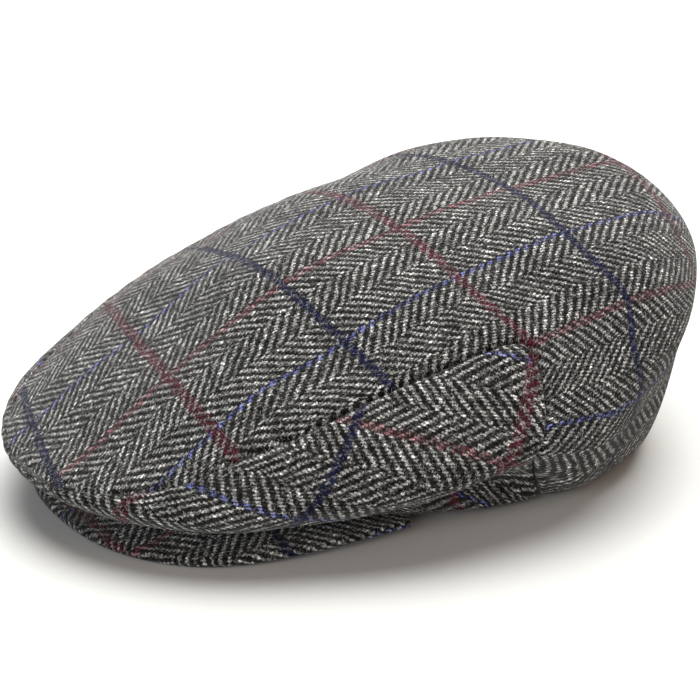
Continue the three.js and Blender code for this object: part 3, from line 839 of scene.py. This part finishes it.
def tweed():
    """Woollen herringbone tweed, woven and brushed: a light heathered warp over a charcoal weft in 2/2 twill,
    so slanting wales of light and dark turn about in columns; blue, red, navy and wine threads draw the
    overcheck."""
    material = bpy.data.materials.new("herringbone_wool_tweed")
    material.use_nodes = True
    tree = material.node_tree
    tree.nodes.clear()
    colour = {name: linear(code) for name, code in COLOURS.items()}
    cloth = add(tree, "ShaderNodeUVMap", uv_map="cloth")

    # threads wander a little, and hairs make their edges ragged
    lying = cloth
    for per_mm, reach in WANDER:
        noise = add(tree, "ShaderNodeTexNoise", {
            "Vector": cloth, "Scale": per_mm, "Detail": WANDER_DETAIL, "Roughness": NOISE_ROUGHNESS},
            noise_dimensions="2D")
        stray = add(tree, "ShaderNodeVectorMath", [noise.outputs["Color"], (0.5, 0.5, 0.5)],
                    operation="SUBTRACT")
        shift = add(tree, "ShaderNodeVectorMath", [stray, reach], operation="SCALE")
        lying = add(tree, "ShaderNodeVectorMath", [lying, shift], operation="ADD")
    split = add(tree, "ShaderNodeSeparateXYZ", [lying])
    value = {"across": split.outputs["X"], "along": split.outputs["Y"]}
    for name, operation, *operands in WEAVE_STEPS:
        value[name] = add(tree, "ShaderNodeMath", [value.get(x, x) for x in operands], operation=operation)

    # each yarn is unevenly spun: its shade drifts along the thread and from float to float
    yarns = {}
    for yarn, (thread, run, turn, dark, light) in YARNS.items():
        place = add(tree, "ShaderNodeCombineXYZ", [value[thread], value[run]])
        spun = add(tree, "ShaderNodeVectorMath", [place, SLUB_STEPS], operation="MULTIPLY")
        slub = add(tree, "ShaderNodeTexNoise", {
            "Vector": spun, "Scale": 1, "Detail": SLUB_DETAIL, "Roughness": NOISE_ROUGHNESS},
            noise_dimensions="2D")
        thick = add(tree, "ShaderNodeMapRange", [slub, *SLUB_RANGE])
        shade = add(tree, "ShaderNodeMix", [thick, colour[dark], colour[light]], data_type="RGBA")
        lot = add(tree, "ShaderNodeCombineXYZ", [value[thread], value[turn]])
        chance = add(tree, "ShaderNodeTexWhiteNoise", {"Vector": lot}, noise_dimensions="2D")
        drift = add(tree, "ShaderNodeMapRange", [chance, *FLOAT_RANGE])
        yarns[yarn] = add(tree, "ShaderNodeVectorMath", [shade, drift], operation="SCALE")

    # dyed threads take their colour in clumps, and a haze of it lies on the threads across them
    wool = {name: add(tree, "ShaderNodeTexNoise", {
        "Vector": cloth, "Scale": per_mm, "Detail": detail, "Roughness": NOISE_ROUGHNESS},
        noise_dimensions="2D") for name, (per_mm, detail) in WOOL_NOISE.items()}
    for name, (yarn, shown, tint) in DYED.items():
        dye = add(tree, "ShaderNodeMapRange", [wool["clump"], *DYE_RANGE, *shown])
        amount = add(tree, "ShaderNodeMath", [value[yarn + "_" + name], dye], operation="MULTIPLY")
        yarns[yarn] = add(tree, "ShaderNodeMix", [amount, yarns[yarn], colour[name]], data_type="RGBA")
        crossed = "warp" if yarn == "weft" else "weft"
        haze = add(tree, "ShaderNodeMath", [amount, tint], operation="MULTIPLY")
        yarns[crossed] = add(tree, "ShaderNodeMix", [haze, yarns[crossed], colour[name]], data_type="RGBA")
    threads = add(tree, "ShaderNodeMix", [value["warp_up"], yarns["weft"], yarns["warp"]], data_type="RGBA")

    # painted shade between the threads and painted highlight on their backs, mottled by the fibres, with a
    # few pale specks of unspun wool
    shade = add(tree, "ShaderNodeMapRange", [value["thread_back"], *PAINTED_THREAD_SHADE_RANGE])
    for name, mottle_range in MOTTLES.items():
        mottle = add(tree, "ShaderNodeMapRange", [wool[name], *mottle_range])
        shade = add(tree, "ShaderNodeMath", [shade, mottle], operation="MULTIPLY")
    shaded = add(tree, "ShaderNodeVectorMath", [threads, shade], operation="SCALE")
    speck = add(tree, "ShaderNodeMapRange", [wool["speck"], *SPECK_RANGE])
    specked = add(tree, "ShaderNodeMix", [speck, shaded, colour["speck"]], data_type="RGBA")
    nap = add(tree, "ShaderNodeMath", [wool["fibre"], NAP_SHARE, value["thread_back"]],
              operation="MULTIPLY_ADD")
    bump = add(tree, "ShaderNodeBump", {"Height": nap, **NAP_BUMP})
    surface = add(tree, "ShaderNodeBsdfPrincipled", {
        "Base Color": specked, "Normal": bump, "Sheen Tint": colour["sheen"], **WOOL_SURFACE})
    add(tree, "ShaderNodeOutputMaterial", [surface])
    return material


def matt_material(name, values):
    """Material of one plain surface with these values on its sockets."""
    material = bpy.data.materials.new(name)
    material.use_nodes = True
    surface = material.node_tree.nodes["Principled BSDF"]
    for socket, value in values.items():
        surface.inputs[socket].default_value = value
    return material


def fibre_material():
    """Loose pale wool fibres, brushed up: matt, a soft haze on cloth that is seen at a slant."""
    return matt_material("loose_wool_fibre", {
        "Base Color": linear(COLOURS["fibre"]), "Roughness": 0.95, "Specular IOR Level": 0.1})


def floor_material():
    """Matt white studio sheet: an even pale ground with no grain that shows."""
    return matt_material("matt_studio_sheet", {"Base Color": linear(COLOURS["floor"]), "Roughness": 0.9})


def make_camera():
    """Camera that took the photograph, looking from the wearer's left front."""
    a, e = math.radians(CAMERA_AZIMUTH), math.radians(CAMERA_ELEVATION)
    back = Vector((math.sin(a) * math.cos(e), -math.cos(a) * math.cos(e), math.sin(e)))
    data = bpy.data.cameras.new("photo_camera")
    data.sensor_width = SENSOR
    data.lens = SENSOR * CAMERA_DISTANCE / FIELD_WIDTH
    data.clip_start, data.clip_end = (distance * MM for distance in CAMERA_CLIP)
    camera = show("photo_camera", data)
    camera.location = (Vector(CAMERA_TARGET) + back * CAMERA_DISTANCE) * MM
    camera.rotation_euler = (-back).to_track_quat("-Z", "Y").to_euler()
    bpy.context.scene.camera = camera


def make_studio():
    """Pale floor, even air and four soft lights."""
    mesh = bpy.data.meshes.new("studio_floor")
    corners = ((-1, -1), (1, -1), (1, 1), (-1, 1))
    points = [(x * FLOOR_REACH, y * FLOOR_REACH, -FLOOR_DROP) for x, y in corners]
    mesh.from_pydata(points, [], [(0, 1, 2, 3)])
    mesh.materials.append(floor_material())
    floor = show("studio_floor", mesh)
    world = bpy.data.worlds.new("studio_air")
    world.use_nodes = True
    air = world.node_tree.nodes["Background"]
    air.inputs["Color"].default_value = (1, 1, 1, 1)
    air.inputs["Strength"].default_value = AIR_STRENGTH
    bpy.context.scene.world = world
    for name, (place, size, power, code) in SOFTBOXES.items():
        data = bpy.data.lights.new(name, "AREA")
        data.shape = "DISK"
        data.size, data.energy, data.color = size, power, linear(code)[:3]
        light = show(name, data)
        light.location = place
        light.rotation_euler = (Vector(LIT_POINT) - Vector(place)).to_track_quat("-Z", "Y").to_euler()
    bpy.context.scene.view_settings.view_transform = "Standard"


make_camera()
make_studio()
cloth_material = tweed()

net = top_net()
top = panel("top_panel_cloth", net, top_cloth(*net.places()), cloth_material)

net = side_net()
grain = side_cloth(*net.places())
left = panel("side_panel_left_cloth", net, grain, cloth_material)
right = panel("side_panel_right_cloth", net, grain, cloth_material, mirrored=True)
peak = make_peak(cloth_material)

fibres = fuzz_tree()
fibre_wool = fibre_material()
naps = {}
for seed, (made, node, slot) in enumerate((
        (top, "top_panel", "crown_tweed"), (left, "side_panel_left", "side_tweed"),
        (right, "side_panel_right", "side_tweed"), (peak, "peak", "peak_tweed"))):
    naps[node] = fuzz(fibres, made, node + "_fuzz", seed, fibre_wool)
    for shown in (made, naps[node]):
        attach(shown, "root")
        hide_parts(node)
